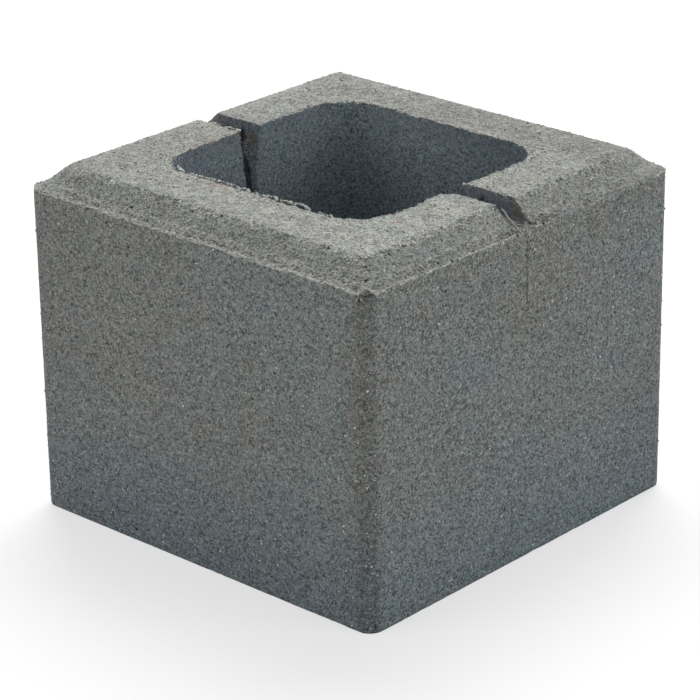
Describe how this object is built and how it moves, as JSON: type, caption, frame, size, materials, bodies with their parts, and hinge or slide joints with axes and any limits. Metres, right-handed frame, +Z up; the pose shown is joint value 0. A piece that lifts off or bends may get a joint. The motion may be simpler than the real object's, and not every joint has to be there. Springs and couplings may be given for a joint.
{
  "type": "concrete fence block",
  "caption": "Square hollow concrete block for a fence pillar, with a bevelled crown and a groove across the tops of two opposite walls.",
  "frame": {"origin": "centre of the square base, on the ground", "axes": "+Z up through the hollow, X along the groove, -Y and +X the two outer faces that the picture shows"},
  "size_m": [0.25, 0.25, 0.202],
  "materials": {
    "concrete": "raw, open-grained, dry pressed concrete"
  },
  "bodies": {
    "root": {"fence_block": "concrete"}
  },
  "joints": []
}
